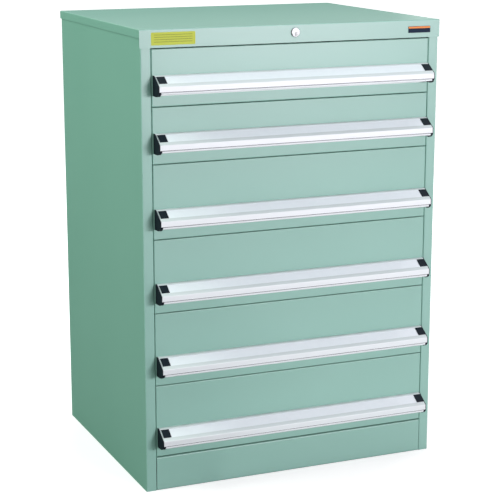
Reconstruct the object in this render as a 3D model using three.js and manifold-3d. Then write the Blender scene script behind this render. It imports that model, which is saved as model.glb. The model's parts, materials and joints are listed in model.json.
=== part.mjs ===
// Industrial drawer cabinet in folded sheet steel, with six drawers.
// Each drawer has an extruded aluminium grip rail with a label strip and plastic end caps,
// and rides on a pair of full-extension runners made of three nested members.
// One key in the top fascia lifts a bar behind the right stile, which holds every drawer shut.
// Lengths are millimetres, +Z is up, and the drawers open towards -Y.
// The origin is the middle of the whole footprint, on the floor.

import * as THREE from 'three';
import { mergeVertices } from 'three/addons/utils/BufferGeometryUtils.js';
import Module from 'manifold-3d';

const wasm = await Module();
wasm.setup();

// Drawer layout: joint lines run between the fronts, and a pitch is from one line to the next
const plinthHeight = 96;
const shallowPitch = 150;
const deepPitch = 200;
const topZone = 50;
const drawerPitches = [shallowPitch, shallowPitch, deepPitch, deepPitch, deepPitch, deepPitch];

// Carcass of folded sheet
const bodyWidth = 866;
const bodyDepth = 700;
const sheet = 1.5;
const bendRadius = 3;
const stileWidth = 29;
const stileReturn = 25;
const rearFlange = 25;
const footFlange = 30;
const plinthDrop = 6;

// Top cap, folded over the carcass
const capSheet = 2;
const capPlay = 0.5;
const fasciaHeight = 48;
const capFlange = 22.5;

// Drawer fronts and trays
const frontGap = 1.6;
const kickGap = 3;
const sideGap = 1;
const frontReturn = 20;
const frontBend = 2.5;
const trayFloor = 10;
const trayHeadroom = 25;
const trayLip = 8;
const trayLength = 648;

// Runners: the cabinet rail and the drawer rail are channels, the middle rail is a beam between them
const railSheet = 2;
const railHeight = 40;
const railReach = 9.7;
const railLength = 610;
const midLength = 600;
const midInset = 1;
const runPlay = 0.3;
const slideTravel = 300;
const stopTab = 6;
const stopTabHeight = 16;
const stopTabReach = 3.5;
const stopTabLap = 2.5;
const passClearance = 2;
const railCentre = 35;
const weldLap = 0.5;

// Uprights that carry the cabinet rails
const uprightSetback = 45;
const uprightWidth = 40;
const uprightLap = 1;
const rearUprightInset = 5;

// Grip rail: an open hooked section with a sloped label channel, a nose and a round bead under it
const gripDepth = 45.5;
const gripHeight = 53;
const gripBottom = 29;
const gripInset = 3;
const gripTopFlat = 8.5;
const gripWall = 2.5;
const noseTop = 28.2;
const noseBottom = 14.2;
const noseRadius = 2.5;
const topEdgeRadius = 1;
const grooveDepth = 1.2;
const grooveHeight = 1.1;
const beadRadius = 3.2;
const beadSetback = 0.4;
const channelRim = 4;
const channelWidth = 28.7;
const channelDepth = 2;
const channelLip = 0.8;
const channelUndercut = 1.2;
const channelFloor = 2.2;
const screwPortRadius = 2;
const screwPortWall = 1.8;
const screwPortDrop = 11;

// End caps of the grip rail
const endPlate = 1.8;
const endToe = 22;
const endCurveDepth = 43;
const endCurveRise = 1;
const footWidth = 5.5;
const footBack = 30;
const pegRadius = 1.7;
const pegLength = 10;

// Label strip with a stop block at each end
const labelSheet = 0.6;
const labelPlay = 0.3;
const labelStart = 3.5;
const stopLength = 22;
const stopProud = 0.5;

// Lock in the middle of the fascia; its plug lies below the middle of the collar
const lockBelowTop = 21.3;
const lockCollarRadius = 12;
const lockCollarDepth = 4;
const lockEdge = 0.8;
const lockBodyRadius = 10.5;
const lockBodyLength = 20;
const lockNutRadius = 14.5;
const lockNutDepth = 5;
const plugDrop = 4.5;
const plugRadius = 5;
const plugRecess = 0.4;
const keyWidth = 1.8;
const keyHeight = 8.4;
const keyDepth = 12;
const crankRadius = 9;
const crankThickness = 4;
const crankCheek = 5.5;
const pinRadius = 2.5;
const pinEnd = 1.3;
const crankRestAngle = -Math.PI / 4;

// Lock bar: one flat plate with an arm at the lock and a leg with a hook for each drawer
const barThickness = 3;
const barArmHeight = 14;
const barLegWidth = 16;
const barLegInset = 4;
const barEndWall = 6;
const barTail = 12;
const slotPlay = 0.5;
const hookReach = 20;
const hookHeight = 12;
const hookSlant = 4;
const hookAboveRail = 5;
const catchClearance = 1.5;
const catchHeight = 12;
const catchThickness = 3;
const catchReach = 12.5;

// Clearances and the overrun of cutting tools
const seam = 0.3;
const overrun = 5;

// Facets of bends and round pieces
const bendSteps = 3;
const arcSteps = 4;
const roundSides = 32;
const smallSides = 16;
const nutSides = 6;

// Places that follow from the sizes above, with the front plane of the fronts at y = 0
const drawerStack = drawerPitches.reduce((sum, pitch) => sum + pitch, 0);
const bodyHeight = plinthHeight + drawerStack + topZone;
const halfWidth = bodyWidth / 2;
const openingHalf = halfWidth - stileWidth;
const capOverhang = capSheet + capPlay;
const panelTop = bodyHeight - capSheet - seam;
const innerHalf = halfWidth - sheet - seam;
const backHalf = innerHalf - (bendRadius - sheet);
const backFrontFace = bodyDepth - 2 * sheet - seam;
const plinthTop = plinthHeight - plinthDrop;
const frontHalf = openingHalf - sideGap;
const midOuter = openingHalf - passClearance;
const railOuter = midOuter + runPlay + railSheet;
const railTip = railOuter - railReach;
const drawerRailTip = railTip - runPlay * 2;
const drawerRailWeb = railOuter - 2 * railReach - 2 * runPlay;
const midInner = drawerRailWeb + railSheet + runPlay;
const midHalfHeight = railHeight / 2 - railSheet - runPlay;
const midWebInner = (midInner + midOuter - railSheet) / 2;
const midWebOuter = midWebInner + railSheet;
const midFront = uprightSetback + midInset;
const midBack = midFront + midLength;
const stopHeights = [railCentre - stopTabHeight / 2, railCentre + stopTabHeight / 2];
const movingStopRun = [midBack - stopTab, midBack];
const fixedStopBack = midBack - stopTab - slideTravel - seam;
const fixedStopRun = [fixedStopBack - stopTab, fixedStopBack];
const trayHalf = drawerRailWeb + weldLap;
const trayFront = sheet + seam;
const handleHalf = frontHalf - gripInset;
const handleFront = gripDepth + seam;
const originY = -(bodyDepth + capOverhang - handleFront) / 2;
const barBack = uprightSetback - seam;
const barFront = barBack - barThickness;
const lockHeight = bodyHeight - lockBelowTop;
const plugHeight = lockHeight - plugDrop;

const paint = new THREE.MeshStandardMaterial({ color: 0xa3c9bd, roughness: 0.45, metalness: 0 });
const zinc = new THREE.MeshStandardMaterial({ color: 0xb4b9bb, roughness: 0.35, metalness: 1 });
const aluminium = new THREE.MeshStandardMaterial({ color: 0xdfe4e6, roughness: 0.3, metalness: 1 });
const blackPlastic = new THREE.MeshStandardMaterial({ color: 0x1f2b31, roughness: 0.5, metalness: 0 });
const labelPlastic = new THREE.MeshStandardMaterial({ color: 0xe3ecef, roughness: 0.4, metalness: 0 });
const chrome = new THREE.MeshStandardMaterial({ color: 0xd8dadb, roughness: 0.15, metalness: 1 });

// Solids from closed geometries, and back again with flat facets
function solidOf(geometry) {
  const plain = geometry.clone();
  plain.deleteAttribute('normal');
  plain.deleteAttribute('uv');
  const merged = mergeVertices(plain);
  const vertProperties = Float32Array.from(merged.attributes.position.array);
  const triVerts = Uint32Array.from(merged.index.array);
  return new wasm.Manifold(new wasm.Mesh({ numProp: 3, vertProperties, triVerts }));
}

function geometryOf(solid) {
  const { vertProperties, triVerts } = solid.getMesh();
  const indexed = new THREE.BufferGeometry();
  indexed.setAttribute('position', new THREE.BufferAttribute(vertProperties, 3));
  indexed.setIndex(new THREE.BufferAttribute(triVerts, 1));
  const geometry = indexed.toNonIndexed();
  geometry.computeVertexNormals();
  return geometry;
}

function joined(first, ...others) {
  return geometryOf(others.reduce((solid, other) => solid.add(solidOf(other)), solidOf(first)));
}

function cut(geometry, ...tools) {
  return geometryOf(tools.reduce((solid, tool) => solid.subtract(solidOf(tool)), solidOf(geometry)));
}

function common(first, second) {
  return geometryOf(solidOf(first).intersect(solidOf(second)));
}

// The same piece for the other side of the cabinet
function mirrored(geometry) {
  const copy = geometry.index ? geometry.toNonIndexed() : geometry.clone();
  const { position } = copy.attributes;
  const corner = new THREE.Vector3();
  const swapped = new THREE.Vector3();
  for (let first = 0; first < position.count; first += 3) {
    corner.fromBufferAttribute(position, first + 1);
    swapped.fromBufferAttribute(position, first + 2);
    position.setXYZ(first + 1, swapped.x, swapped.y, swapped.z);
    position.setXYZ(first + 2, corner.x, corner.y, corner.z);
  }
  copy.scale(-1, 1, 1);
  copy.computeVertexNormals();
  return copy;
}

function block([x0, x1], [y0, y1], [z0, z1]) {
  const geometry = new THREE.BoxGeometry(x1 - x0, y1 - y0, z1 - z0);
  return geometry.translate((x0 + x1) / 2, (y0 + y1) / 2, (z0 + z1) / 2);
}

function rodAlongY(radius, sides, x, z, [y0, y1]) {
  const geometry = new THREE.CylinderGeometry(radius, radius, y1 - y0, sides);
  return geometry.translate(x, (y0 + y1) / 2, z);
}

function extruded(shape, length) {
  return new THREE.ExtrudeGeometry(shape, { depth: length, bevelEnabled: false, curveSegments: arcSteps });
}

const xAxis = new THREE.Vector3(1, 0, 0);
const yAxis = new THREE.Vector3(0, 1, 0);
const zAxis = new THREE.Vector3(0, 0, 1);

// A shape drawn in x and y, run up from one height to another
function upright(shape, [z0, z1]) {
  return extruded(shape, z1 - z0).translate(0, 0, z0);
}

// A shape drawn in x and z, run back from one depth to another
function alongY(shape, [y0, y1]) {
  const turn = new THREE.Matrix4().makeBasis(xAxis, zAxis, yAxis.clone().negate());
  return extruded(shape, y1 - y0).applyMatrix4(turn).translate(0, y1, 0);
}

// A shape drawn in y and z, run across from one side to the other
function alongX(shape, [x0, x1]) {
  const turn = new THREE.Matrix4().makeBasis(yAxis, zAxis, xAxis);
  return extruded(shape, x1 - x0).applyMatrix4(turn).translate(x0, 0, 0);
}

// A shape drawn in depth in front of the drawer and in height, run across
function gripAlongX(shape, [x0, x1]) {
  const turn = new THREE.Matrix4().makeBasis(yAxis.clone().negate(), zAxis, xAxis.clone().negate());
  return extruded(shape, x1 - x0).applyMatrix4(turn).translate(x1, -seam, 0);
}

function at(x, y) {
  return new THREE.Vector2(x, y);
}

// The section of a folded sheet: its outer skin follows the path, and its metal lies to the left
function folded(path, thickness) {
  const legs = path.slice(1).map((end, index) => end.clone().sub(path[index]).normalize());
  const lefts = legs.map((leg) => at(-leg.y, leg.x));
  const near = [path[0].clone()];
  const far = [path[0].clone().addScaledVector(lefts[0], thickness)];
  for (let corner = 1; corner < legs.length; corner += 1) {
    const before = lefts[corner - 1];
    const after = lefts[corner];
    const side = Math.sign(legs[corner - 1].cross(legs[corner]));
    const nearRadius = side > 0 ? bendRadius : bendRadius - thickness;
    const farRadius = side > 0 ? bendRadius - thickness : bendRadius;
    const bisector = before.clone().add(after).normalize();
    const reach = (side * nearRadius) / bisector.dot(before);
    const centre = path[corner].clone().addScaledVector(bisector, reach);
    const turn = Math.atan2(before.cross(after), before.dot(after));
    for (let step = 0; step <= bendSteps; step += 1) {
      const normal = before.clone().rotateAround(at(0, 0), (turn * step) / bendSteps);
      near.push(centre.clone().addScaledVector(normal, -side * nearRadius));
      far.push(centre.clone().addScaledVector(normal, -side * farRadius));
    }
  }
  const end = path[path.length - 1];
  near.push(end.clone());
  far.push(end.clone().addScaledVector(lefts[lefts.length - 1], thickness));
  return new THREE.Shape([...near, ...far.reverse()]);
}

// A block with its top face at z = 0 and the four edges of that face rounded
function roundedBlock(halfX, halfY, depth, radius) {
  const section = (half) => {
    const shape = new THREE.Shape();
    shape.moveTo(-half, -depth);
    shape.lineTo(half, -depth);
    shape.absarc(half - radius, -radius, radius, 0, Math.PI / 2, false);
    shape.absarc(radius - half, -radius, radius, Math.PI / 2, Math.PI, false);
    shape.closePath();
    return shape;
  };
  return common(alongY(section(halfX), [-halfY, halfY]), alongX(section(halfY), [-halfX, halfX]));
}

// A sheet folded down on all four sides, with its face at z = 0
function pan(halfX, halfY, depth, thickness, radius) {
  const outer = roundedBlock(halfX, halfY, depth, radius);
  const reach = depth - thickness + overrun;
  const hollow = roundedBlock(halfX - thickness, halfY - thickness, reach, radius - thickness);
  return cut(outer, hollow.translate(0, 0, -thickness));
}

// Carcass pieces
function sidePanel() {
  const path = [
    at(openingHalf, stileReturn),
    at(openingHalf, 0),
    at(halfWidth, 0),
    at(halfWidth, bodyDepth),
    at(halfWidth - rearFlange, bodyDepth),
  ];
  return upright(folded(path, sheet), [0, panelTop]);
}

function backPanel() {
  return block([-backHalf, backHalf], [backFrontFace, backFrontFace + sheet], [0, panelTop]);
}

function plinth() {
  const path = [
    at(innerHalf - footFlange, 0),
    at(innerHalf, 0),
    at(innerHalf, plinthTop),
    at(-innerHalf, plinthTop),
    at(-innerHalf, 0),
    at(footFlange - innerHalf, 0),
  ];
  return alongY(folded(path, sheet), [stileReturn + seam, backFrontFace - seam]);
}

// A channel that lies on its web at the front plane, open to the back
function frontChannel(half, [z0, z1]) {
  const path = [at(stileReturn, z1), at(0, z1), at(0, z0), at(stileReturn, z0)];
  return alongX(folded(path, sheet), [-half, half]);
}

function kickPlate() {
  return frontChannel(frontHalf, [0, plinthHeight + frontGap / 2 - kickGap]);
}

function lockHole() {
  const run = [-capOverhang - overrun, stileReturn];
  return rodAlongY(lockBodyRadius + seam, roundSides, 0, lockHeight, run);
}

function topFrontRail() {
  const rail = frontChannel(openingHalf - seam, [bodyHeight - fasciaHeight + seam, panelTop]);
  return cut(rail, lockHole());
}

function topCap() {
  const halfX = halfWidth + capOverhang;
  const halfY = bodyDepth / 2 + capOverhang;
  const hood = pan(halfX, halfY, fasciaHeight, capSheet, bendRadius);
  const flangeCut = block(
    [-halfX - overrun, halfX + overrun],
    [-capPlay, bodyDepth + capOverhang + overrun],
    [bodyHeight - fasciaHeight - overrun, bodyHeight - capFlange],
  );
  return cut(hood.translate(0, bodyDepth / 2, bodyHeight), flangeCut, lockHole());
}

// Height of each drawer's lower joint line, from the top drawer down
function jointLines() {
  let height = bodyHeight - topZone;
  return drawerPitches.map((pitch) => {
    height -= pitch;
    return height;
  });
}

// Two channel uprights and the cabinet rails of one side, welded into one frame
function runnerFrame() {
  const channelUpright = (front) => {
    const inner = railOuter - uprightLap;
    const path = [
      at(innerHalf, front + uprightWidth),
      at(inner, front + uprightWidth),
      at(inner, front),
      at(innerHalf, front),
    ];
    return upright(folded(path, sheet), [plinthTop + seam, panelTop]);
  };
  const rail = (line) => {
    const low = line + railCentre - railHeight / 2;
    const high = low + railHeight;
    const path = [at(railTip, low), at(railOuter, low), at(railOuter, high), at(railTip, high)];
    const channel = alongY(folded(path, railSheet), [uprightSetback, uprightSetback + railLength]);
    const web = railOuter - railSheet;
    const stop = block([web - stopTabReach, web + weldLap], fixedStopRun, stopHeights);
    return joined(channel, stop.translate(0, 0, line));
  };
  const rearUpright = uprightSetback + railLength - uprightWidth - rearUprightInset;
  const rails = jointLines().map(rail);
  return joined(channelUpright(uprightSetback), channelUpright(rearUpright), ...rails);
}

// Lock pieces, turned about Y
function lockHousing() {
  const front = -capOverhang - lockCollarDepth;
  const back = -capOverhang - seam;
  const outline = [
    at(0, front),
    at(lockCollarRadius - lockEdge, front),
    at(lockCollarRadius, front + lockEdge),
    at(lockCollarRadius, back),
    at(lockBodyRadius, back),
    at(lockBodyRadius, lockBodyLength),
    at(0, lockBodyLength),
  ];
  const body = new THREE.LatheGeometry(outline, roundSides).translate(0, 0, lockHeight);
  const nutRun = [sheet + seam, sheet + seam + lockNutDepth];
  const nut = rodAlongY(lockNutRadius, nutSides, 0, lockHeight, nutRun);
  const boreRun = [front - overrun, lockBodyLength + overrun];
  return cut(joined(body, nut), rodAlongY(plugRadius + seam, roundSides, 0, plugHeight, boreRun));
}

function lockPlug() {
  const front = plugRecess - capOverhang - lockCollarDepth;
  const crankBack = barFront - seam;
  const crankFront = crankBack - crankThickness;
  const barrel = rodAlongY(plugRadius, roundSides, 0, plugHeight, [front, crankBack]);
  const pinX = crankRadius * Math.cos(crankRestAngle);
  const pinZ = crankRadius * Math.sin(crankRestAngle);
  const cheek = new THREE.Shape();
  cheek.absarc(0, 0, crankCheek, crankRestAngle + Math.PI / 2, crankRestAngle + 1.5 * Math.PI, false);
  cheek.absarc(pinX, pinZ, crankCheek, crankRestAngle - Math.PI / 2, crankRestAngle + Math.PI / 2, false);
  cheek.closePath();
  const crank = alongY(cheek, [crankFront, crankBack]).translate(0, 0, plugHeight);
  const pinRun = [crankFront + weldLap, barBack + pinEnd];
  const pin = rodAlongY(pinRadius, smallSides, pinX, plugHeight + pinZ, pinRun);
  const keySlot = block(
    [-keyWidth / 2, keyWidth / 2],
    [front - overrun, front + keyDepth],
    [plugHeight - keyHeight / 2, plugHeight + keyHeight / 2],
  );
  return cut(joined(barrel, crank, pin), keySlot);
}

function lockBar() {
  const pinX = crankRadius * Math.cos(crankRestAngle);
  const slotHeight = plugHeight + crankRadius * Math.sin(crankRestAngle);
  const slotRadius = pinRadius + slotPlay;
  const armTop = slotHeight + barArmHeight / 2;
  const armBottom = slotHeight - barArmHeight / 2;
  const armEnd = pinX - slotRadius - barEndWall;
  const legInner = openingHalf + barLegInset;
  const legOuter = legInner + barLegWidth;
  const hookTip = legInner - hookReach;
  const hookBottoms = jointLines().map((line) => line + railCentre + railHeight / 2 + hookAboveRail);
  const lowest = hookBottoms[hookBottoms.length - 1];
  const outline = [
    at(armEnd, armBottom),
    at(armEnd, armTop),
    at(legOuter, armTop),
    at(legOuter, lowest - barTail),
    at(legInner, lowest - barTail),
  ];
  for (const bottom of hookBottoms.slice().reverse()) {
    outline.push(at(legInner, bottom));
    outline.push(at(hookTip, bottom + hookSlant));
    outline.push(at(hookTip, bottom + hookHeight));
    outline.push(at(legInner, bottom + hookHeight));
  }
  outline.push(at(legInner, armBottom));
  const plate = new THREE.Shape(outline);
  const slot = new THREE.Path();
  slot.absarc(crankRadius, slotHeight, slotRadius, -Math.PI / 2, Math.PI / 2, false);
  slot.absarc(pinX, slotHeight, slotRadius, Math.PI / 2, 1.5 * Math.PI, false);
  plate.holes.push(slot);
  return alongY(plate, [barFront, barBack]);
}

// Drawer pieces, with z = 0 at the drawer's lower joint line
function drawerFront(pitch) {
  const face = pan(frontHalf, (pitch - frontGap) / 2, frontReturn, sheet, frontBend);
  return face.rotateX(Math.PI / 2).translate(0, 0, pitch / 2);
}

function drawerTray(pitch) {
  const rimHeight = pitch - trayHeadroom - sheet;
  const trough = [
    at(-trayHalf - trayLip, rimHeight),
    at(-trayHalf, rimHeight),
    at(-trayHalf, trayFloor),
    at(trayHalf, trayFloor),
    at(trayHalf, rimHeight),
    at(trayHalf + trayLip, rimHeight),
  ];
  const trayBack = trayFront + trayLength;
  const body = alongY(folded(trough, sheet), [trayFront, trayBack]);
  const wall = (y) => {
    const half = trayHalf - weldLap;
    return block([-half, half], [y, y + sheet], [trayFloor + weldLap, rimHeight + sheet]);
  };
  const low = railCentre - railHeight / 2;
  const high = low + railHeight;
  const channel = [
    at(drawerRailTip, high),
    at(drawerRailWeb, high),
    at(drawerRailWeb, low),
    at(drawerRailTip, low),
  ];
  const web = drawerRailWeb + railSheet;
  const stop = block([web - weldLap, web + stopTabReach], movingStopRun, stopHeights);
  const rail = joined(alongY(folded(channel, railSheet), [midFront, midBack]), stop);
  const catchBottom = high + hookAboveRail + hookHeight + catchClearance;
  const catchTab = block(
    [trayHalf - weldLap, trayHalf + catchReach],
    [midFront, midFront + catchThickness],
    [catchBottom, catchBottom + catchHeight],
  );
  return joined(body, wall(trayFront), wall(trayBack - sheet), rail, mirrored(rail), catchTab);
}

// The middle rail is a beam whose flanges run in both channels.
// Its rear tab meets the cabinet rail's stop, and its inner tab stops the drawer rail.
function middleRail() {
  const flange = midHalfHeight - railSheet;
  const bevel = bendRadius - railSheet;
  const section = new THREE.Shape([
    at(midInner + bevel, -midHalfHeight),
    at(midOuter - bevel, -midHalfHeight),
    at(midOuter, bevel - midHalfHeight),
    at(midOuter, -flange),
    at(midWebOuter, -flange),
    at(midWebOuter, flange),
    at(midOuter, flange),
    at(midOuter, midHalfHeight - bevel),
    at(midOuter - bevel, midHalfHeight),
    at(midInner + bevel, midHalfHeight),
    at(midInner, midHalfHeight - bevel),
    at(midInner, flange),
    at(midWebInner, flange),
    at(midWebInner, -flange),
    at(midInner, -flange),
    at(midInner, bevel - midHalfHeight),
  ]);
  const beam = alongY(section, [midFront, midBack]).translate(0, 0, railCentre);
  const outerTip = railOuter - railSheet - stopTabReach + stopTabLap;
  const innerTip = drawerRailWeb + railSheet + stopTabReach - stopTabLap;
  const outerStop = block([midWebOuter - weldLap, outerTip], movingStopRun, stopHeights);
  const innerStop = block([innerTip, midWebInner + weldLap], fixedStopRun, stopHeights);
  return joined(beam, outerStop, innerStop);
}

// Grip rail section, in depth in front of the drawer and height above the grip's lower edge
const slopeTop = at(gripTopFlat, gripHeight);
const slopeAlong = at(gripDepth, noseTop).sub(slopeTop).normalize();
const slopeOut = at(-slopeAlong.y, slopeAlong.x);

function onSlope(along, out) {
  return slopeTop.clone().addScaledVector(slopeAlong, along).addScaledVector(slopeOut, out);
}

// Where a line under the slope, at the given distance, meets a depth or a height
function underSlopeAtDepth(out, depth) {
  const start = onSlope(0, out);
  return at(depth, start.y + ((depth - start.x) * slopeAlong.y) / slopeAlong.x);
}

function underSlopeAtHeight(out, height) {
  const start = onSlope(0, out);
  return at(start.x + ((height - start.y) * slopeAlong.x) / slopeAlong.y, height);
}

// Adds a rounded corner between the last leg and the next
function roundCorner(shape, before, corner, after, radius) {
  const toBefore = before.clone().sub(corner).normalize();
  const toAfter = after.clone().sub(corner).normalize();
  const half = Math.acos(toBefore.dot(toAfter)) / 2;
  const reach = radius / Math.tan(half);
  const start = corner.clone().addScaledVector(toBefore, reach);
  const end = corner.clone().addScaledVector(toAfter, reach);
  const middle = toBefore.clone().add(toAfter).normalize();
  const centre = corner.clone().addScaledVector(middle, radius / Math.sin(half));
  const from = Math.atan2(start.y - centre.y, start.x - centre.x);
  const to = Math.atan2(end.y - centre.y, end.x - centre.x);
  shape.lineTo(start.x, start.y);
  shape.absarc(centre.x, centre.y, radius, from, to, toBefore.cross(toAfter) > 0);
}

function screwPortCentre() {
  return at(gripWall + screwPortRadius, gripHeight - screwPortDrop);
}

function gripSection() {
  const underside = -channelDepth - channelFloor;
  const noseCorner = at(gripDepth, noseTop);
  const noseInner = gripDepth - gripWall;
  const channelEnd = channelRim + channelWidth;
  const beadX = gripDepth - beadSetback - beadRadius;
  const beadY = noseBottom - grooveHeight - beadRadius;
  const shape = new THREE.Shape();
  const line = (point) => shape.lineTo(point.x, point.y);
  shape.moveTo(0, 0);
  line(at(0, gripHeight));
  roundCorner(shape, at(0, gripHeight), slopeTop, noseCorner, topEdgeRadius);
  line(onSlope(channelRim, 0));
  line(onSlope(channelRim, -channelLip));
  line(onSlope(channelRim - channelUndercut, -channelLip));
  line(onSlope(channelRim - channelUndercut, -channelDepth));
  line(onSlope(channelEnd + channelUndercut, -channelDepth));
  line(onSlope(channelEnd + channelUndercut, -channelLip));
  line(onSlope(channelEnd, -channelLip));
  line(onSlope(channelEnd, 0));
  roundCorner(shape, slopeTop, noseCorner, at(gripDepth, noseBottom), noseRadius);
  line(at(gripDepth, noseBottom));
  line(at(gripDepth - grooveDepth, noseBottom));
  line(at(gripDepth - grooveDepth, noseBottom - grooveHeight));
  shape.absarc(beadX, beadY, beadRadius, Math.PI / 4, -Math.PI, true);
  line(at(noseInner - gripWall, noseBottom - grooveHeight));
  line(at(noseInner, noseBottom));
  line(underSlopeAtDepth(underside, noseInner));
  line(underSlopeAtHeight(underside, gripHeight - gripWall));
  line(at(gripWall, gripHeight - gripWall));
  line(at(gripWall, 0));
  shape.closePath();
  return shape;
}

function gripRail() {
  const inner = handleHalf - endPlate - seam;
  const rail = gripAlongX(gripSection(), [-inner, inner]);
  const port = screwPortCentre();
  const ring = new THREE.Shape();
  ring.absarc(port.x, port.y, screwPortRadius + screwPortWall, 0, 2 * Math.PI, false);
  const bore = new THREE.Shape();
  bore.absarc(port.x, port.y, screwPortRadius, 0, 2 * Math.PI, false);
  const portRing = gripAlongX(ring, [-inner, inner]);
  const portBore = gripAlongX(bore, [-inner - overrun, inner + overrun]);
  const footDepths = [-gripDepth - overrun, seam - footBack];
  const footHeights = [-overrun, noseBottom];
  const notchInner = handleHalf - endPlate - footWidth - seam;
  const notches = [
    block([notchInner, handleHalf], footDepths, footHeights),
    block([-handleHalf, -notchInner], footDepths, footHeights),
  ];
  return cut(joined(rail, portRing), portBore, ...notches);
}

function endCap() {
  const shape = new THREE.Shape();
  const noseCorner = at(gripDepth, noseTop);
  shape.moveTo(0, 0);
  shape.lineTo(0, gripHeight);
  roundCorner(shape, at(0, gripHeight), slopeTop, noseCorner, topEdgeRadius);
  roundCorner(shape, slopeTop, noseCorner, at(gripDepth, noseBottom), noseRadius);
  shape.lineTo(gripDepth, noseBottom);
  shape.quadraticCurveTo(endCurveDepth, endCurveRise, endToe, 0);
  shape.closePath();
  const inner = handleHalf - endPlate;
  const plate = gripAlongX(shape, [inner, handleHalf]);
  const footRun = [inner - footWidth, handleHalf];
  const footLimit = block(footRun, [-gripDepth - overrun, -footBack - seam], [-overrun, noseBottom - seam]);
  const foot = common(gripAlongX(shape, footRun), footLimit);
  const port = screwPortCentre();
  const pegShape = new THREE.Shape();
  pegShape.absarc(port.x, port.y, pegRadius, 0, 2 * Math.PI, false);
  const peg = gripAlongX(pegShape, [inner - pegLength, handleHalf - endPlate / 2]);
  return joined(plate, foot, peg);
}

function labelStrip() {
  const low = labelPlay - channelDepth;
  const inset = channelUndercut - labelPlay;
  const stripShape = new THREE.Shape([
    onSlope(channelRim - inset, low),
    onSlope(channelRim + channelWidth + inset, low),
    onSlope(channelRim + channelWidth + inset, low + labelSheet),
    onSlope(channelRim - inset, low + labelSheet),
  ]);
  const stopShape = new THREE.Shape([
    onSlope(channelRim + labelPlay, low),
    onSlope(channelRim + channelWidth - labelPlay, low),
    onSlope(channelRim + channelWidth - labelPlay, stopProud),
    onSlope(channelRim + labelPlay, stopProud),
  ]);
  const left = labelStart + endPlate - handleHalf;
  const right = handleHalf - endPlate - seam;
  const strip = gripAlongX(stripShape, [left, right]);
  const leftStop = gripAlongX(stopShape, [left, left + stopLength]);
  const rightStop = gripAlongX(stopShape, [right - stopLength, right]);
  return joined(strip, leftStop, rightStop);
}

// The assembled object
const cabinet = new THREE.Group();

function add(group, name, geometry, material) {
  const mesh = new THREE.Mesh(geometry, material);
  mesh.name = name;
  group.add(mesh);
  return mesh;
}

const carcass = new THREE.Group();
carcass.position.y = originY;
cabinet.add(carcass);
add(carcass, 'right_side_panel', sidePanel(), paint);
add(carcass, 'left_side_panel', mirrored(sidePanel()), paint);
add(carcass, 'back_panel', backPanel(), paint);
add(carcass, 'plinth', plinth(), paint);
add(carcass, 'kick_plate', kickPlate(), paint);
add(carcass, 'top_front_rail', topFrontRail(), paint);
add(carcass, 'top_cap', topCap(), paint);
add(carcass, 'right_runner_frame', runnerFrame(), zinc);
add(carcass, 'left_runner_frame', mirrored(runnerFrame()), zinc);
add(carcass, 'lock_housing', lockHousing(), chrome);
add(carcass, 'lock_plug', lockPlug(), chrome);
add(carcass, 'lock_bar', lockBar(), zinc);

jointLines().forEach((line, index) => {
  const number = index + 1;
  const drawer = new THREE.Group();
  drawer.position.set(0, originY, line);
  cabinet.add(drawer);
  add(drawer, `drawer_front_${number}`, drawerFront(drawerPitches[index]), paint);
  add(drawer, `drawer_tray_${number}`, drawerTray(drawerPitches[index]), paint);
  add(drawer, `middle_rail_right_${number}`, middleRail(), zinc);
  add(drawer, `middle_rail_left_${number}`, mirrored(middleRail()), zinc);
  const grip = new THREE.Group();
  grip.position.z = gripBottom;
  drawer.add(grip);
  add(grip, `grip_rail_${number}`, gripRail(), aluminium);
  add(grip, `grip_cap_right_${number}`, endCap(), blackPlastic);
  add(grip, `grip_cap_left_${number}`, mirrored(endCap()), blackPlastic);
  add(grip, `label_strip_${number}`, labelStrip(), labelPlastic);
});

export default cabinet;
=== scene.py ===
"""Industrial drawer cabinet: its finishes, small trim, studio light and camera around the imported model.

A script for Blender 4.5. Lengths are in millimetres and are turned to metres by MM where a mesh is made.
"""

import json
import math

import bmesh
import bpy
from mathutils import Matrix, Vector


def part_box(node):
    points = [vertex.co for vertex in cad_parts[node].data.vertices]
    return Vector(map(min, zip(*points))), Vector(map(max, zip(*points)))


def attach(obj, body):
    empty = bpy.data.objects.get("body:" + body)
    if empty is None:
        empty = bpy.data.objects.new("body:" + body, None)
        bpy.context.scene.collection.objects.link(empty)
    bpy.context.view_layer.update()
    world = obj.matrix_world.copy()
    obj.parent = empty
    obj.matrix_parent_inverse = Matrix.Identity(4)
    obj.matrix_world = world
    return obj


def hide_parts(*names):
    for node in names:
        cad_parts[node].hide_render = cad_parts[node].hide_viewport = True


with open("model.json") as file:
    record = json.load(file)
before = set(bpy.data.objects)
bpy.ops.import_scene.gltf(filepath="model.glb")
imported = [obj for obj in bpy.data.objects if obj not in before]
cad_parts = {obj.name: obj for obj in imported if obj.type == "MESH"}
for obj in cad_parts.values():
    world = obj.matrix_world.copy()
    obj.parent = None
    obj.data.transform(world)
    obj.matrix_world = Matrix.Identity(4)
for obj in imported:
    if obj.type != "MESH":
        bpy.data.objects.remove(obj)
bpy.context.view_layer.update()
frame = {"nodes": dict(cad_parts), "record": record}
nodes = frame["nodes"]

MM = 0.001
DRAWERS = range(1, 7)
SIDES = {"left": -1, "right": 1}

# How nearly a face must point a given way to count as facing it, and two places agree, in metres
SAME_WAY = 0.99
SAME_PLACE = 1e-6

# Label channel of the grip rail: where the slope starts below the flat top, and how it falls
GRIP_TOP_FLAT = 8.5
GRIP_NOSE_TOP = 28.2
CHANNEL_START = 3.5
CHANNEL_WIDTH = 29.7
CHANNEL_FLOOR = -1.8
STOP_LENGTH = 22
STOP_PROUD = 0.5
STOP_RIM = 2
STOP_DISH = 0.35
STOP_ROUND = 0.35
STOP_PLAY = 1.2
CARD_COVER = 0.9
CARD_PLAY = 0.2
CARD_ROUND = 0.2

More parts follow.
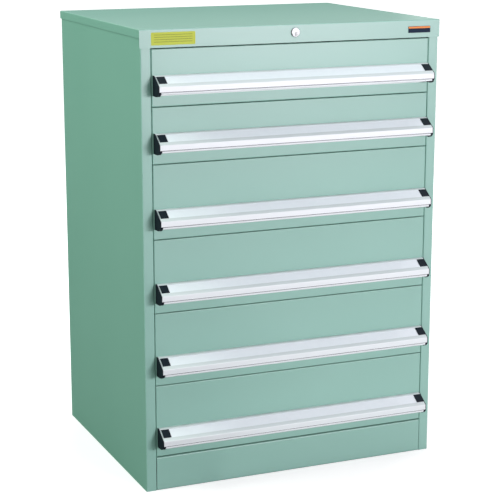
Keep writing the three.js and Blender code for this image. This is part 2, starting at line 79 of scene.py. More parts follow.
# Groove between the grip's nose and its bead, where a dark strip is painted shade, from the grip's front
# and lower edge
GROOVE_DEPTHS = (0.3, 1.3)
GROOVE_HEIGHTS = (13, 14.3)
GROOVE_END = 0.5

# Fascia items, measured from the photograph on the plane of the fascia
STICKER_SIZE = (121, 33)
STICKER_LEFT_EDGE = 31.5
STICKER_TOP_EDGE = 8.5
STICKER_SHEET = 0.15
STICKER_CORNER = 2.5
LINE_MARGIN = 8
LINE_PITCH = 6
LINE_WIDTH = 0.9
LINE_COUNT = 4
PLATE_SIZE = (68, 17.5)
PLATE_RIGHT_EDGE = 29
PLATE_TOP_EDGE = 17.5
PLATE_SHEET = 0.8
PLATE_CORNER = 1.2
PLATE_BORDER = 0.8
PLATE_BAND = 4.8

# Lock: a black rubber seal that stands a little wider than the collar and also paints the collar's shade
# crescent, and a dark dust shutter in the plug that also paints the keyway's shade
SEAL_RADIUS = 11.7
SEAL_WALL = 1.6
SEAL_DEPTH = 2.4
PLUG_DROP = 4.5
SHUTTER_SIZE = (3.6, 8.8)
SHUTTER_DEPTHS = (0.2, 2)
SHUTTER_RIM = 0.9
SHUTTER_RECESS = 0.8

# Folded drawer tray with rows of slots for its dividers
TRAY_SHEET = 1.5
TRAY_LIP = 8
TRAY_BEND = 2.5
RAIL_REACH = 9.2
SLOT_WIDTH = 3
SLOT_HEIGHT = 14
SLOT_PITCH = 24
SLOT_ROW_PITCH = 24
SLOT_ROWS_START = 50
SLOT_ROWS_END = 10
SLOT_EDGE = 20

# Drawer rail: a channel along each side of the tray, open outwards
RAIL_SHEET = 2
RAIL_DEPTH = 9.7
RAIL_HEIGHT = 40
RAIL_ABOVE_FLOOR = 5
RAIL_FRONT = 44.2
RAIL_LENGTH = 600
RAIL_BEND = 1.5
TAB_WELD = 0.5
STOP_TAB = (4, 6, 16)
CATCH_TAB = (13, 3, 12)
CATCH_ABOVE_FLOOR = 63.5

# Blind rivets along the flanges that hold the back panel
RIVET_RADIUS = 4
RIVET_RISE = 1.2
RIVET_COUNT = 7
RIVET_INSET = 12.5
RIVET_END = 70

# Lamps: place and aim in metres, width and height in metres, power in watts, colour
LAMPS = {"front_softbox": ((1.86, -5.0, 1.51), (0.1, -0.33, 0.8), (1.83, 0.83), 198, "#FFEBF7"),
         "left_fill": ((-3.6, 0.3, 3.5), (-0.43, 0.0, 0.9), (2.0, 1.6), 124, "#EDFFED"),
         "top_panel": ((0.2, -0.5, 3.6), (0.2, -0.5, 1.2), (4.0, 4.0), 44, "#F0F3FF"),
         "back_fill": ((2.6, 3.6, 2.2), (0.2, 0.37, 0.7), (2.0, 2.0), 90, "#FFFFFF")}
WORLD_SOFT = 0.25

# White floor, in metres: its half width, how far it lies under the feet, and the ring round the cabinet
# where its glow rises from dim to full; the glow is a share of white
FLOOR_HALF = 30
FLOOR_DROP = 0.0001
GLOW_REACH = (0.72, 0.66)
GLOW_RING = (0.7, 1.3)
GLOW_DIM = 0.6

# Floor under the cabinet, in metres, which stays dark behind the gaps
FOOTPRINT_MIDDLE = 0.0217
FOOTPRINT_HALVES = (0.431, 0.348)

# Black flag, in metres: the corners of its two sheets on the floor, and the height of the part that stands
# up from the first sheet's far edge
FLAG_SHEETS = (((-3.2, 1.6), (1.4, 1.6), (1.4, -0.34), (-3.2, -0.34)),
               ((-3.2, -0.34), (-0.22, -0.34), (0.95, -2.7), (-3.2, -2.7)))
FLAG_FAR_EDGE = 1.6
FLAG_HEIGHT = 1.7
FLAG_LIFT = 0.0005

# Camera fitted to the photograph's corners and joint lines
CAMERA_PLACE = (-1742.9, -4111.3, 1589.1)
CAMERA_AIM = (10.9, 0, 564)
CAMERA_LENS = 112.82


def linear(code):
    """An sRGB hex colour as linear red, green, blue and alpha."""
    channels = [int(code[i:i + 2], 16) / 255 for i in (1, 3, 5)]
    return [c / 12.92 if c <= 0.04045 else ((c + 0.055) / 1.055) ** 2.4 for c in channels] + [1]


def add_node(tree, kind, settings=None, links=None):
    """A shader node, with its properties and input values, and the sockets that feed its inputs."""
    node = tree.nodes.new(kind)
    for name, value in (settings or {}).items():
        if isinstance(name, int) or name in node.inputs:
            node.inputs[name].default_value = value
        else:
            setattr(node, name, value)
    for name, socket in (links or {}).items():
        tree.links.new(socket, node.inputs[name])
    return node


def new_material(name, **values):
    """A material with one Principled shader set to these values; returns it, its tree and the shader."""
    material = bpy.data.materials.new(name)
    material.use_nodes = True
    tree = material.node_tree
    shader = tree.nodes["Principled BSDF"]
    for socket, value in values.items():
        shader.inputs[socket.replace("_", " ")].default_value = value
    return material, tree, shader


def powder_coat():
    """Polyester powder sprayed on sheet steel and baked: a satin film, whose orange peel softens what it
    reflects, on sheet that is never quite flat. The peel is drawn at 6 mm, as its real 2 mm is too fine."""
    material, tree, shader = new_material("satin_powder_coat", Roughness=0.35, IOR=1.5)
    place = add_node(tree, "ShaderNodeTexCoord").outputs["Object"]
    peel = add_node(tree, "ShaderNodeTexNoise", {"Scale": 1 / (6 * MM), "Detail": 1}, {"Vector": place})
    sag = add_node(tree, "ShaderNodeTexNoise", {"Scale": 1 / (260 * MM), "Detail": 1}, {"Vector": place})
    tone = add_node(tree, "ShaderNodeMixRGB", {"Color1": linear("#83B4A5"), "Color2": linear("#88B8A9")},
                    {"Fac": sag.outputs["Fac"]})
    fine = add_node(tree, "ShaderNodeBump", {"Strength": 0.5, "Distance": 0.05 * MM},
                    {"Height": peel.outputs["Fac"]})
    broad = add_node(tree, "ShaderNodeBump", {"Strength": 1, "Distance": 0.8 * MM},
                     {"Height": sag.outputs["Fac"], "Normal": fine.outputs["Normal"]})
    tree.links.new(tone.outputs["Color"], shader.inputs["Base Color"])
    tree.links.new(broad.outputs["Normal"], shader.inputs["Normal"])
    return material


def anodised_aluminium():
    """Extruded profile, etched and clear anodised: the etch scatters most of the light, so the metal looks
    pale and matt with die lines along its length. They are drawn 1.2 mm apart, as real ones don't show."""
    material, tree, shader = new_material("anodised_aluminium", Metallic=0.15, Roughness=0.5)
    place = add_node(tree, "ShaderNodeTexCoord").outputs["Object"]
    along = add_node(tree, "ShaderNodeMapping", {"Scale": (1 / (400 * MM), 1 / (1.2 * MM), 1 / (1.2 * MM))},
                     {"Vector": place})
    lines = add_node(tree, "ShaderNodeTexNoise", {"Scale": 1, "Detail": 2},
                     {"Vector": along.outputs["Vector"]})
    tone = add_node(tree, "ShaderNodeMixRGB", {"Color1": linear("#C5D3D2"), "Color2": linear("#D2DFDE")},
                    {"Fac": lines.outputs["Fac"]})
    bump = add_node(tree, "ShaderNodeBump", {"Strength": 0.4, "Distance": 0.03 * MM},
                    {"Height": lines.outputs["Fac"]})
    tree.links.new(tone.outputs["Color"], shader.inputs["Base Color"])
    tree.links.new(bump.outputs["Normal"], shader.inputs["Normal"])
    return material


def moulded_black():
    """Injection-moulded ABS from an eroded tool: blue-black, its highlights dulled by a fine even grain,
    which is drawn at 1.5 mm, as its real 0.1 mm is too fine."""
    material, tree, shader = new_material("moulded_abs", Base_Color=linear("#06131D"), Roughness=0.55,
                                          IOR=1.5, Specular_IOR_Level=0.2)
    place = add_node(tree, "ShaderNodeTexCoord").outputs["Object"]
    grain = add_node(tree, "ShaderNodeTexNoise", {"Scale": 1 / (1.5 * MM), "Detail": 2}, {"Vector": place})
    bump = add_node(tree, "ShaderNodeBump", {"Strength": 0.3, "Distance": 0.05 * MM},
                    {"Height": grain.outputs["Fac"]})
    tree.links.new(bump.outputs["Normal"], shader.inputs["Normal"])
    return material


def label_card():
    """Blank pale card behind a clear rigid PVC cover: even and pale below, with a clear gloss on top."""
    material, tree, shader = new_material("card_under_pvc", Roughness=0.5, Coat_Weight=0.5,
                                          Coat_Roughness=0.12)
    place = add_node(tree, "ShaderNodeTexCoord").outputs["Object"]
    fibre = add_node(tree, "ShaderNodeTexNoise", {"Scale": 1 / (14 * MM), "Detail": 3}, {"Vector": place})
    tone = add_node(tree, "ShaderNodeMixRGB", {"Color1": linear("#E2F0F2"), "Color2": linear("#EAF6F8")},
                    {"Fac": fibre.outputs["Fac"]})
    tree.links.new(tone.outputs["Color"], shader.inputs["Base Color"])
    return material


def zinc_plate():
    """Cold-rolled steel, bright zinc plated: a cool grey metal with faint cloudy patches, duller where
    they are paler."""
    material, tree, shader = new_material("bright_zinc_plate", Metallic=1)
    place = add_node(tree, "ShaderNodeTexCoord").outputs["Object"]
    cloud = add_node(tree, "ShaderNodeTexNoise", {"Scale": 1 / (30 * MM), "Detail": 3}, {"Vector": place})
    tone = add_node(tree, "ShaderNodeMixRGB", {"Color1": linear("#9EA4A8"), "Color2": linear("#BFC4C6")},
                    {"Fac": cloud.outputs["Fac"]})
    gloss = add_node(tree, "ShaderNodeMapRange", {"To Min": 0.28, "To Max": 0.46},
                     {"Value": cloud.outputs["Fac"]})
    tree.links.new(tone.outputs["Color"], shader.inputs["Base Color"])
    tree.links.new(gloss.outputs["Result"], shader.inputs["Roughness"])
    return material


def polished_chrome():
    """Die-cast zinc, polished and chrome plated: a cool mirror with a very faint polishing ripple."""
    material, tree, shader = new_material("polished_chrome", Metallic=1, Base_Color=linear("#DDE0E3"),
                                          Roughness=0.08)
    place = add_node(tree, "ShaderNodeTexCoord").outputs["Object"]
    ripple = add_node(tree, "ShaderNodeTexNoise", {"Scale": 1 / (5 * MM), "Detail": 1}, {"Vector": place})
    bump = add_node(tree, "ShaderNodeBump", {"Strength": 0.2, "Distance": 0.05 * MM},
                    {"Height": ripple.outputs["Fac"]})
    tree.links.new(bump.outputs["Normal"], shader.inputs["Normal"])
    return material


def screen_ink(name, code):
    """Matt ink screen-printed on vinyl or plate: an even flat colour, a little thicker in places."""
    material, tree, shader = new_material(name, Roughness=0.7, IOR=1.5, Specular_IOR_Level=0.2)
    place = add_node(tree, "ShaderNodeTexCoord").outputs["Object"]
    film = add_node(tree, "ShaderNodeTexNoise", {"Scale": 1 / (9 * MM), "Detail": 2}, {"Vector": place})
    value = add_node(tree, "ShaderNodeMapRange", {"To Min": 0.97, "To Max": 1.03},
                     {"Value": film.outputs["Fac"]})
    tone = add_node(tree, "ShaderNodeHueSaturation", {"Color": linear(code)},
                    {"Value": value.outputs["Result"]})
    tree.links.new(tone.outputs["Color"], shader.inputs["Base Color"])
    return material


def mesh_object(bm, name, materials):
    """Turns a bmesh in metres into an object with these materials."""
    mesh = bpy.data.meshes.new(name)
    bm.to_mesh(mesh)
    bm.free()
    made = bpy.data.objects.new(name, mesh)
    bpy.context.scene.collection.objects.link(made)
    for material in materials:
        mesh.materials.append(material)
    return made


def finish_piece(bm, name, body, materials, replaced=()):
    """Turns a bmesh in metres into a piece that rides on a body and stands for the replaced nodes."""
    piece = mesh_object(bm, name, materials)
    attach(piece, body)
    if replaced:
        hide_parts(*replaced)


def box_between(bm, low, high):
    """A box between two corners given in millimetres; returns its vertices."""
    size = [b - a for a, b in zip(low, high)]
    middle = [(a + b) / 2 for a, b in zip(low, high)]
    verts = bmesh.ops.create_cube(bm, size=1)["verts"]
    bmesh.ops.scale(bm, vec=[s * MM for s in size], verts=verts)
    bmesh.ops.translate(bm, vec=[m * MM for m in middle], verts=verts)
    return verts


def faces_towards(bm, direction):
    """The faces whose normals point a given way."""
    direction = Vector(direction)
    return [face for face in bm.faces if face.normal.dot(direction) > SAME_WAY]


def round_edges(bm, edges, radius, segments=2):
    """Rounds edges to a radius in millimetres."""
    bmesh.ops.bevel(bm, geom=edges, offset=radius * MM, offset_type="OFFSET", affect="EDGES",
                    segments=segments, profile=0.5, material=-1)


def cut_faces(bm, facing, normal, places):
    """Cuts the faces that point one way with planes across another, at places in millimetres along it."""
    normal = Vector(normal)
    for place in places:
        faces = faces_towards(bm, facing)
        geom = list({item for face in faces for item in (face, *face.edges, *face.verts)})
        bmesh.ops.bisect_plane(bm, geom=geom, plane_co=normal * place * MM, plane_no=normal)


def slope_frame(low, high):
    """The label channel's own frame: X along the grip, Y out of the slope, Z down the slope."""
    back, top = high.y / MM, high.z / MM
    start = Vector((0, back - GRIP_TOP_FLAT, top))
    end = Vector((0, low.y / MM, low.z / MM + GRIP_NOSE_TOP))
    down = (end - start).normalized()
    out = down.cross(Vector((1, 0, 0)))
    turn = Matrix((Vector((1, 0, 0)), out, down)).transposed().to_4x4()
    return Matrix.Translation(start * MM) @ turn


def label_pieces(number, materials):
    """The blank label under its cover, and the moulded stop at each end of the channel."""
    grip_low, grip_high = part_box(f"grip_rail_{number}")
    strip_low, strip_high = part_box(f"label_strip_{number}")
    place = slope_frame(grip_low, grip_high)
    left, right = strip_low.x / MM, strip_high.x / MM
    body = f"drawer_{number}"
    bm = bmesh.new()
    box_between(bm, (left + CARD_PLAY, CHANNEL_FLOOR, CHANNEL_START),
                (right - CARD_PLAY, CHANNEL_FLOOR + CARD_COVER, CHANNEL_START + CHANNEL_WIDTH))
    round_edges(bm, bm.edges[:], CARD_ROUND)
    bmesh.ops.transform(bm, matrix=place, verts=bm.verts)
    finish_piece(bm, f"label_card_{number}", body, [materials["card"]],
                 [f"label_strip_{number}"])
    starts = {"left": left, "right": right - STOP_LENGTH}
    for side, start in starts.items():
        bm = bmesh.new()
        box_between(bm, (start, CHANNEL_FLOOR + CARD_COVER, CHANNEL_START + STOP_PLAY),
                    (start + STOP_LENGTH, STOP_PROUD, CHANNEL_START + CHANNEL_WIDTH - STOP_PLAY))
        centre = faces_towards(bm, (0, 1, 0))
        bmesh.ops.inset_region(bm, faces=centre, thickness=STOP_RIM * MM, depth=0)
        bmesh.ops.translate(bm, vec=(0, -STOP_DISH * MM, 0), verts=centre[0].verts)
        rims = [e for e in bm.edges if e.calc_length() > STOP_RIM * 2 * MM]
        round_edges(bm, rims, STOP_ROUND)
        bmesh.ops.transform(bm, matrix=place, verts=bm.verts)
        finish_piece(bm, f"label_stop_{side}_{number}", body, [materials["black"]])


def groove_painted_shade(number, materials):
    """A dark strip in the groove between the grip's nose and the bead under it, painted shade that stands
    for the groove's shadow.
    """
    low, high = (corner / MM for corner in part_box(f"grip_rail_{number}"))
    near, far = GROOVE_DEPTHS
    bottom, top = GROOVE_HEIGHTS
    bm = bmesh.new()
    box_between(bm, (low.x + GROOVE_END, low.y + near, low.z + bottom),
                (high.x - GROOVE_END, low.y + far, low.z + top))
    # The dark strip is painted shade, not a real part of the grip
    finish_piece(bm, f"groove_painted_shade_{number}", f"drawer_{number}", [materials["black"]])


def slot_places(start, end, pitch, width):
    """The low and high edge of each slot in a row that is centred between two ends."""
    count = max(int((end - start - width) // pitch) + 1, 1)
    first = (start + end) / 2 - pitch * (count - 1) / 2
    return [(first + pitch * i - width / 2, first + pitch * i + width / 2) for i in range(count)]


def slotted_tray(number, materials):
    """The folded tray with its slotted walls and the lips along its sides."""
    low, high = (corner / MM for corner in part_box(f"drawer_tray_{number}"))
    half = -low.x - RAIL_REACH
    floor, rim = low.z, high.z - TRAY_SHEET
    bm = bmesh.new()
    box_between(bm, (-half, low.y, floor), (half, high.y, rim))
    bmesh.ops.delete(bm, geom=faces_towards(bm, (0, 0, 1)), context="FACES")
    folds = [e for e in bm.edges if len(e.link_faces) == 2]
    round_edges(bm, folds, TRAY_BEND)
    rows = slot_places(floor + SLOT_ROWS_START, rim - SLOT_ROWS_END, SLOT_ROW_PITCH, SLOT_HEIGHT)
    columns = {"x": slot_places(-half + SLOT_EDGE, half - SLOT_EDGE, SLOT_PITCH, SLOT_WIDTH),
               "y": slot_places(low.y + SLOT_EDGE, high.y - SLOT_EDGE, SLOT_PITCH, SLOT_WIDTH)}
    for wall, across, axis in (((1, 0, 0), (0, 1, 0), "y"), ((-1, 0, 0), (0, 1, 0), "y"),
                               ((0, 1, 0), (1, 0, 0), "x"), ((0, -1, 0), (1, 0, 0), "x")):
        cut_faces(bm, wall, (0, 0, 1), [z for row in rows for z in row])
        cut_faces(bm, wall, across, [p for column in columns[axis] for p in column])
        holes = []
        for face in faces_towards(bm, wall):
            middle = face.calc_center_median() / MM
            spot = getattr(middle, axis)
            in_row = any(a < middle.z < b for a, b in rows)
            in_column = any(a < spot < b for a, b in columns[axis])
            if in_row and in_column:
                holes.append(face)
        bmesh.ops.delete(bm, geom=holes, context="FACES")
    for sign in SIDES.values():
        top_edges = [e for e in bm.edges if e.is_boundary
                     and all(abs(v.co.z - rim * MM) < SAME_PLACE
                             and abs(v.co.x - sign * half * MM) < SAME_PLACE for v in e.verts)]
        lip = bmesh.ops.extrude_edge_only(bm, edges=top_edges)["geom"]
        moved = [item for item in lip if isinstance(item, bmesh.types.BMVert)]
        bmesh.ops.translate(bm, vec=(sign * TRAY_LIP * MM, 0, 0), verts=moved)
    # The wall's thickness goes against the normals, so the underside has to face down
    bmesh.ops.recalc_face_normals(bm, faces=bm.faces[:])
    if not any(face.calc_center_median().z < (floor + 1) * MM for face in faces_towards(bm, (0, 0, -1))):
        bmesh.ops.reverse_faces(bm, faces=bm.faces[:])
    bmesh.ops.solidify(bm, geom=bm.faces[:], thickness=TRAY_SHEET * MM)
    finish_piece(bm, f"slotted_tray_{number}", f"drawer_{number}", [materials["paint"]],
                 [f"drawer_tray_{number}"])


def drawer_rails(number, materials):
    """The channel along each side of the tray, with its stop tab and, on the right, the catch tab."""
    low, high = (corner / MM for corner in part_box(f"drawer_tray_{number}"))
    outer = -low.x
    web = outer - RAIL_DEPTH
    front = low.y + RAIL_FRONT
    bottom = low.z + RAIL_ABOVE_FLOOR
    for side, sign in SIDES.items():
        bm = bmesh.new()
        box_between(bm, (web, front, bottom), (outer, front + RAIL_LENGTH, bottom + RAIL_HEIGHT))
        open_faces = [face for way in ((1, 0, 0), (0, 1, 0), (0, -1, 0)) for face in faces_towards(bm, way)]
        bmesh.ops.delete(bm, geom=open_faces, context="FACES")
        folds = [e for e in bm.edges if len(e.link_faces) == 2]
        round_edges(bm, folds, RAIL_BEND)
        bmesh.ops.solidify(bm, geom=bm.faces[:], thickness=RAIL_SHEET * MM)
        middle = bottom + RAIL_HEIGHT / 2
        back = front + RAIL_LENGTH
        wide, deep, tall = STOP_TAB
        inner = web + RAIL_SHEET - TAB_WELD
        box_between(bm, (inner, back - deep, middle - tall / 2), (inner + wide, back, middle + tall / 2))
        if side == "right":
            wide, deep, tall = CATCH_TAB
            catch = low.z + CATCH_ABOVE_FLOOR
            box_between(bm, (web, front, catch), (web + wide, front + deep, catch + tall))
        if sign < 0:
            bmesh.ops.scale(bm, vec=(-1, 1, 1), verts=bm.verts)
            bmesh.ops.reverse_faces(bm, faces=bm.faces[:])
        finish_piece(bm, f"drawer_rail_{side}_{number}", f"drawer_{number}",
                     [materials["zinc"]])


def sticker(materials):
    """A blank self-adhesive label with ruled write-on lines, at the left of the fascia."""
    low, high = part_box("top_cap")
    width, tall = STICKER_SIZE
    left = low.x / MM + STICKER_LEFT_EDGE
    top = high.z / MM - STICKER_TOP_EDGE
    face_y = low.y / MM
    bm = bmesh.new()
    box_between(bm, (left, face_y - STICKER_SHEET, top - tall), (left + width, face_y, top))
    corners = [e for e in bm.edges if abs((e.verts[0].co - e.verts[1].co).y) > STICKER_SHEET * MM / 2]
    round_edges(bm, corners, STICKER_CORNER, 3)
    ends = (left + LINE_MARGIN, left + width - LINE_MARGIN)
    lines = [top - tall + LINE_MARGIN + LINE_PITCH * i for i in range(LINE_COUNT)]
    cuts = [z + offset for z in lines for offset in (0, LINE_WIDTH)]
    cut_faces(bm, (0, -1, 0), (0, 0, 1), cuts)
    cut_faces(bm, (0, -1, 0), (1, 0, 0), ends)
    for face in faces_towards(bm, (0, -1, 0)):
        middle = face.calc_center_median() / MM
        ruled = any(z < middle.z < z + LINE_WIDTH for z in lines)
        if ruled and ends[0] < middle.x < ends[1]:
            face.material_index = 1
    finish_piece(bm, "write_on_label", "carcass",
                 [materials["label_green"], materials["label_lines"]])


def front_plate(materials):
    """A plain printed plate, navy with one orange band along its top, at the right of the fascia."""
    low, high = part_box("top_cap")
    width, tall = PLATE_SIZE
    right = high.x / MM - PLATE_RIGHT_EDGE
    top = high.z / MM - PLATE_TOP_EDGE
    face_y = low.y / MM
    bm = bmesh.new()
    box_between(bm, (right - width, face_y - PLATE_SHEET, top - tall), (right, face_y, top))
    round_edges(bm, [e for e in bm.edges if e.calc_length() < 2 * PLATE_SHEET * MM], PLATE_CORNER, 3)
    bmesh.ops.inset_region(bm, faces=faces_towards(bm, (0, -1, 0)), thickness=PLATE_BORDER * MM, depth=0)
    band_top = top - PLATE_BORDER
    cut_faces(bm, (0, -1, 0), (0, 0, 1), [band_top - PLATE_BAND])
    for face in faces_towards(bm, (0, -1, 0)):
        middle = face.calc_center_median() / MM
        in_width = right - width + PLATE_BORDER < middle.x < right - PLATE_BORDER
        if band_top - PLATE_BAND < middle.z < band_top and in_width:
            face.material_index = 1
    finish_piece(bm, "front_plate", "carcass",
                 [materials["plate_navy"], materials["plate_orange"]])


def lock_trim(materials):
    """The black rubber seal behind the lock's collar, whose rim is also painted shade for the collar's
    shadow crescent, and the dark dust shutter of its keyhole, which is also painted shade of the keyway.
    """
    low, high = (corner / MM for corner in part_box("lock_housing"))
    middle = (low + high) / 2
    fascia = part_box("top_cap")[0].y / MM
    bm = bmesh.new()
    bmesh.ops.create_grid(bm, x_segments=1, y_segments=1, size=0.5)
    bmesh.ops.delete(bm, geom=bm.faces[:], context="FACES_ONLY")
    bmesh.ops.scale(bm, vec=(SEAL_WALL * MM, SEAL_DEPTH * MM, 1), verts=bm.verts)
    bmesh.ops.translate(bm, vec=(SEAL_RADIUS * MM, 0, 0), verts=bm.verts)
    bmesh.ops.spin(bm, geom=bm.verts[:] + bm.edges[:], cent=(0, 0, 0), axis=(0, 1, 0), dvec=(0, 0, 0),
                   angle=math.tau, steps=48, use_merge=True, use_duplicate=False)
    bmesh.ops.translate(bm, vec=(0, (fascia - SEAL_DEPTH / 2) * MM, middle.z * MM), verts=bm.verts)
    bmesh.ops.recalc_face_normals(bm, faces=bm.faces[:])
    # The black seal is partly a real seal and partly painted shade round the collar
    finish_piece(bm, "lock_seal_painted_shade", "carcass", [materials["black"]])

    # The dark shutter is partly a real dust shutter and partly painted shade of the keyway
    wide, tall = SHUTTER_SIZE
    front, back = (low.y + depth for depth in SHUTTER_DEPTHS)
    plug = middle.z - PLUG_DROP
    bm = bmesh.new()
    box_between(bm, (-wide / 2, front, plug - tall / 2), (wide / 2, back, plug + tall / 2))
    face = faces_towards(bm, (0, -1, 0))
    bmesh.ops.inset_region(bm, faces=face, thickness=SHUTTER_RIM * MM, depth=0)
    bmesh.ops.translate(bm, vec=(0, SHUTTER_RECESS * MM, 0), verts=face[0].verts)
    finish_piece(bm, "keyhole_shutter_painted_shade", "lock_plug", [materials["black"]])


def back_rivets(materials):
    """Blind rivets that hold the back panel to the side panels' flanges."""
    low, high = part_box("right_side_panel")
    top, bottom = high.z / MM - RIVET_END, low.z / MM + RIVET_END
    back = high.y / MM
    for side, sign in SIDES.items():
        bm = bmesh.new()
        for step in range(RIVET_COUNT):
            z = bottom + (top - bottom) * step / (RIVET_COUNT - 1)
            head = bmesh.ops.create_uvsphere(bm, u_segments=12, v_segments=6,
                                             radius=RIVET_RADIUS * MM)["verts"]
            bmesh.ops.scale(bm, vec=(1, RIVET_RISE / RIVET_RADIUS, 1), verts=head)
            x = sign * (high.x / MM - RIVET_INSET)
            bmesh.ops.translate(bm, vec=(x * MM, back * MM, z * MM), verts=head)
        finish_piece(bm, f"back_rivets_{side}", "carcass", [materials["zinc"]])


def dress_nodes(materials):
    """Gives each carried-over node its finish, by the slot that the record names for it."""
    finishes = {"paint": "paint", "zinc_steel": "zinc", "aluminium": "aluminium", "black_plastic": "black",
                "label_plastic": "card", "lock_chrome": "chrome"}
    for part in frame["record"]["subparts"]:
        node = nodes[part["node"]]
        finish = materials[finishes[part["material_slot"]]]
        if not node.material_slots:
            node.data.materials.append(finish)
        for slot in node.material_slots:
            slot.material = finish


def area_light(name, place, aim, size, power, code):
    """A soft rectangular lamp at a place in metres, aimed at a point."""
    lamp = bpy.data.lights.new(name, "AREA")
    lamp.shape = "RECTANGLE"
    lamp.size, lamp.size_y = size
    lamp.energy = power
    lamp.color = linear(code)[:3]
    holder = bpy.data.objects.new(name, lamp)
    aim_object(holder, Vector(place), Vector(aim))
    return holder


def aim_object(holder, place, aim):
    """Puts a lamp or camera at a place in metres and turns it towards a point."""
    holder.location = place
    holder.rotation_euler = (aim - place).to_track_quat("-Z", "Y").to_euler()
    bpy.context.scene.collection.objects.link(holder)


def seen_directly(tree):
    """One where a ray comes from the camera, a mirror or glass, and zero for soft light."""
    path = add_node(tree, "ShaderNodeLightPath")
    first = add_node(tree, "ShaderNodeMath", {"operation": "MAXIMUM"},
                     {0: path.outputs["Is Camera Ray"], 1: path.outputs["Is Glossy Ray"]})
    both = add_node(tree, "ShaderNodeMath", {"operation": "MAXIMUM"},
                    {0: first.outputs[0], 1: path.outputs["Is Transmission Ray"]})
    return both.outputs[0]


def white_world():
    """A backdrop that is white where it is seen or mirrored and lights the object only a little."""
    world = bpy.data.worlds.new("studio")
    bpy.context.scene.world = world
    world.use_nodes = True
    tree = world.node_tree
    tree.nodes.clear()
    soft = add_node(tree, "ShaderNodeBackground", {"Color": linear("#FFFFFF"), "Strength": WORLD_SOFT})
    white = add_node(tree, "ShaderNodeBackground", {"Color": linear("#FFFFFF"), "Strength": 1})
    mix = add_node(tree, "ShaderNodeMixShader", None,
                   {0: seen_directly(tree), 1: soft.outputs[0], 2: white.outputs[0]})
    add_node(tree, "ShaderNodeOutputWorld", None, {"Surface": mix.outputs[0]})


def lamps():
    """One softbox at the front right, a fill at the left, a wide panel overhead and a lamp behind, which
    reflections don't see, because the top would mirror it."""
    for name, values in LAMPS.items():
        lamp = area_light(name, *values)
        lamp.visible_glossy = name != "back_fill"


def black_flag():
    """Black cloth that only reflections see, beside the cabinet and in front of it at the left: in the
    photograph the side and the lower left of the fronts mirror something dark."""
    cloth = bpy.data.materials.new("black_flag_cloth")
    cloth.use_nodes = True
    shader = cloth.node_tree.nodes["Principled BSDF"]
    shader.inputs["Base Color"].default_value = linear("#000000")
    shader.inputs["Specular IOR Level"].default_value = 0
    bm = bmesh.new()
    for sheet in FLAG_SHEETS:
        corners = [bmesh.ops.create_vert(bm, co=(x, y, FLAG_LIFT))["vert"][0] for x, y in sheet]
        bmesh.ops.contextual_create(bm, geom=corners)
    far_edge = [e for e in bm.edges if all(v.co.y > FLAG_FAR_EDGE - MM for v in e.verts)]
    raised = bmesh.ops.extrude_edge_only(bm, edges=far_edge)["geom"]
    upper = [v for v in raised if isinstance(v, bmesh.types.BMVert)]
    bmesh.ops.translate(bm, vec=(0, 0, FLAG_HEIGHT), verts=upper)
    flag = mesh_object(bm, "black_flag", [cloth])
    for sight in ("camera", "diffuse", "transmission", "volume_scatter", "shadow"):
        setattr(flag, f"visible_{sight}", False)


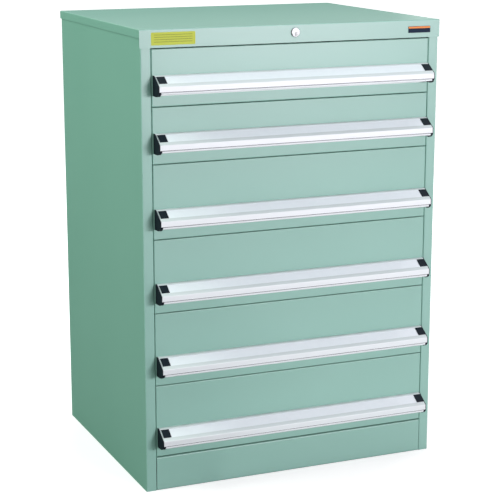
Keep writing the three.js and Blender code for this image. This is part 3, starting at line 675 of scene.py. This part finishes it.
def floor_paper():
    """Matt white paper that takes the object's shadow. It glows white where it is seen or mirrored, less
    so near the cabinet, where the shadow shows, and not at all under it."""
    material = bpy.data.materials.new("white_studio_floor")
    material.use_nodes = True
    tree = material.node_tree
    tree.nodes.clear()
    place = add_node(tree, "ShaderNodeTexCoord").outputs["Object"]
    centred = add_node(tree, "ShaderNodeMapping", {"Scale": (1 / GLOW_REACH[0], 1 / GLOW_REACH[1], 1)},
                       {"Vector": place})
    reach = add_node(tree, "ShaderNodeVectorMath", {"operation": "LENGTH"},
                     {"Vector": centred.outputs["Vector"]})
    clear = add_node(tree, "ShaderNodeMapRange",
                     {"From Min": GLOW_RING[0], "From Max": GLOW_RING[1], "To Min": GLOW_DIM, "To Max": 1},
                     {"Value": reach.outputs["Value"]})
    level = add_node(tree, "ShaderNodeMath", {"operation": "MULTIPLY"},
                     {0: seen_directly(tree), 1: clear.outputs["Result"]})
    footprint = add_node(tree, "ShaderNodeMapping", {"Location": (0, -FOOTPRINT_MIDDLE, 0)},
                         {"Vector": place})
    spot = add_node(tree, "ShaderNodeSeparateXYZ", None, {"Vector": footprint.outputs["Vector"]})
    beyond = []
    for axis, half in zip("XY", FOOTPRINT_HALVES):
        distance = add_node(tree, "ShaderNodeMath", {"operation": "ABSOLUTE"}, {0: spot.outputs[axis]})
        beyond.append(add_node(tree, "ShaderNodeMath", {"operation": "GREATER_THAN", 1: half},
                               {0: distance.outputs["Value"]}))
    outside = add_node(tree, "ShaderNodeMath", {"operation": "MAXIMUM"},
                       {0: beyond[0].outputs["Value"], 1: beyond[1].outputs["Value"]})
    shown = add_node(tree, "ShaderNodeMath", {"operation": "MULTIPLY"},
                     {0: level.outputs["Value"], 1: outside.outputs["Value"]})
    paper = add_node(tree, "ShaderNodeBsdfDiffuse", {"Color": linear("#C6C6C6")})
    glow = add_node(tree, "ShaderNodeEmission", {"Color": linear("#FFFFFF")},
                    {"Strength": shown.outputs["Value"]})
    lit = add_node(tree, "ShaderNodeAddShader", None, {0: paper.outputs[0], 1: glow.outputs[0]})
    add_node(tree, "ShaderNodeOutputMaterial", None, {"Surface": lit.outputs[0]})
    return material


def white_floor():
    """The studio floor, a hair under the cabinet's feet."""
    bm = bmesh.new()
    bmesh.ops.create_grid(bm, x_segments=1, y_segments=1, size=FLOOR_HALF)
    floor = mesh_object(bm, "studio_floor", [floor_paper()])
    floor.location.z = -FLOOR_DROP


def camera():
    """A camera without shift, at the photograph's viewing angle."""
    view = bpy.data.cameras.new("camera")
    view.lens = CAMERA_LENS
    holder = bpy.data.objects.new("camera", view)
    aim_object(holder, Vector(CAMERA_PLACE) * MM, Vector(CAMERA_AIM) * MM)
    bpy.context.scene.camera = holder


def main():
    materials = {"paint": powder_coat(), "aluminium": anodised_aluminium(), "black": moulded_black(),
                 "card": label_card(), "zinc": zinc_plate(), "chrome": polished_chrome(),
                 "label_green": screen_ink("yellow_green_ink", "#B7C852"),
                 "label_lines": screen_ink("olive_ink", "#566636"),
                 "plate_navy": screen_ink("navy_ink", "#071E32"),
                 "plate_orange": screen_ink("orange_ink", "#E29250")}
    dress_nodes(materials)
    for number in DRAWERS:
        label_pieces(number, materials)
        # The dark strip in each grip's groove is painted shade
        groove_painted_shade(number, materials)
        slotted_tray(number, materials)
        drawer_rails(number, materials)
    sticker(materials)
    front_plate(materials)
    lock_trim(materials)
    back_rivets(materials)
    white_world()
    lamps()
    black_flag()
    white_floor()
    camera()
    bpy.context.scene.view_settings.view_transform = "Standard"


main()
